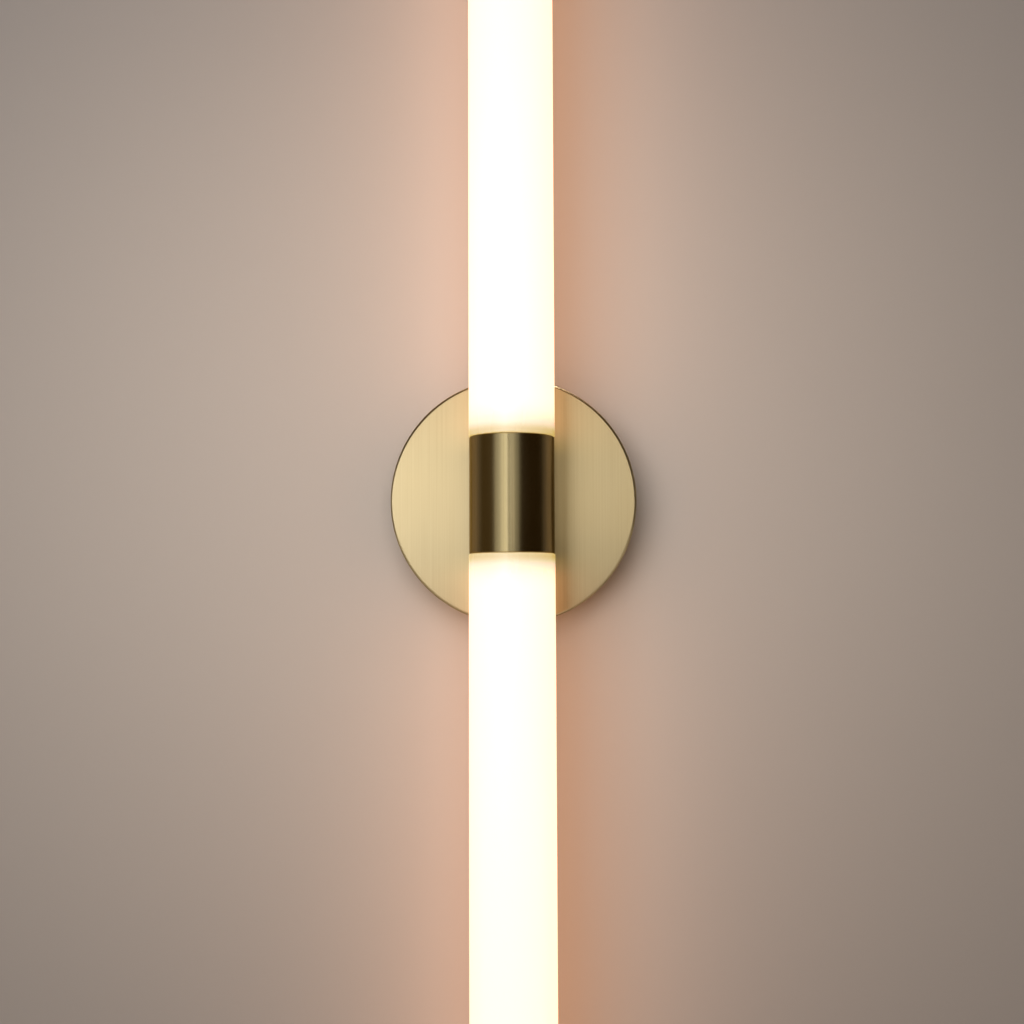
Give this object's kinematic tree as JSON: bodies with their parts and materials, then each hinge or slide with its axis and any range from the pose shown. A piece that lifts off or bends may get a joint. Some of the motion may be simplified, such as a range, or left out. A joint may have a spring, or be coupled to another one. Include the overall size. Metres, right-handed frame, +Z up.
{
  "type": "tube wall light",
  "caption": "Vertical wall light: opal light tubes above and below a brushed-brass collar, held off a round brass canopy by a short stem.",
  "frame": {"origin": "centre of the round canopy, on the wall plane that canopy and bracket rest on", "axes": "+Z up along the tubes, +Y into the wall, so the light stands out towards -Y, and +X to the right as seen from the room"},
  "size_m": [0.12, 0.075, 0.7],
  "materials": {
    "zinc_steel": "pressed sheet, zinc plated",
    "screw_steel": "zinc plated",
    "black_nylon": "moulded",
    "white_nylon": "moulded",
    "plain_brass": "bright, machined",
    "tinned_copper": "tinned, crimped",
    "earth_lead_pvc": "green sleeve with a yellow stripe",
    "supply_lead_pvc": "brown and blue sleeves",
    "led_lead_pvc": "red and black sleeves",
    "driver_shell": "moulded case",
    "brushed_brass_face": "brushed upright, satin lacquer",
    "brushed_brass": "brushed, satin lacquer",
    "aluminium_core": "turned",
    "carrier_aluminium": "extruded, clear anodised",
    "led_board": "white solder mask with yellow LED packages",
    "spacer_plastic": "translucent white",
    "opal_acrylic": "opal, lit from inside",
    "silicone": "translucent silicone"
  },
  "bodies": {
    "wall_unit": {"wall_bracket": "zinc_steel", "cable_bush": "black_nylon", "terminal_block": "white_nylon", "terminal_inserts": "plain_brass", "terminal_screws": "screw_steel", "terminal_block_screws": "screw_steel", "earth_tag": "tinned_copper", "earth_screw": "screw_steel", "earth_lead": "earth_lead_pvc", "led_driver": "driver_shell", "driver_screws": "screw_steel", "input_leads": "supply_lead_pvc", "canopy": "brushed_brass_face", "canopy_screws": "brushed_brass", "stem": "brushed_brass", "stem_pin": "screw_steel", "stem_nipple": "screw_steel", "stem_washer": "zinc_steel", "stem_lock_washer": "zinc_steel", "stem_nut": "zinc_steel", "nipple_bush": "black_nylon", "collar_sleeve": "brushed_brass", "collar_core": "aluminium_core", "upper_leads": "led_lead_pvc", "lower_leads": "led_lead_pvc", "upper_tube_o_ring": "silicone", "upper_carrier_foot": "aluminium_core", "upper_foot_screws": "screw_steel", "upper_carrier_screw": "screw_steel", "upper_led_carrier": "carrier_aluminium", "upper_led_board_front": "led_board", "upper_led_board_back": "led_board", "upper_end_spacer": "spacer_plastic", "lower_tube_o_ring": "silicone", "lower_carrier_foot": "aluminium_core", "lower_foot_screws": "screw_steel", "lower_carrier_screw": "screw_steel", "lower_led_carrier": "carrier_aluminium", "lower_led_board_front": "led_board", "lower_led_board_back": "led_board", "lower_end_spacer": "spacer_plastic"},
    "upper_tube": {"upper_diffuser": "opal_acrylic", "upper_end_cap": "brushed_brass", "upper_cap_o_ring": "silicone"},
    "lower_tube": {"lower_diffuser": "opal_acrylic", "lower_end_cap": "brushed_brass", "lower_cap_o_ring": "silicone"}
  },
  "joints": [
    {"name": "upper_tube_pull", "type": "slide", "parent": "wall_unit", "child": "upper_tube", "axis": [0, 0, 1], "range_m": [0, 0.33]},
    {"name": "lower_tube_pull", "type": "slide", "parent": "wall_unit", "child": "lower_tube", "axis": [0, 0, -1], "range_m": [0, 0.33]}
  ]
}
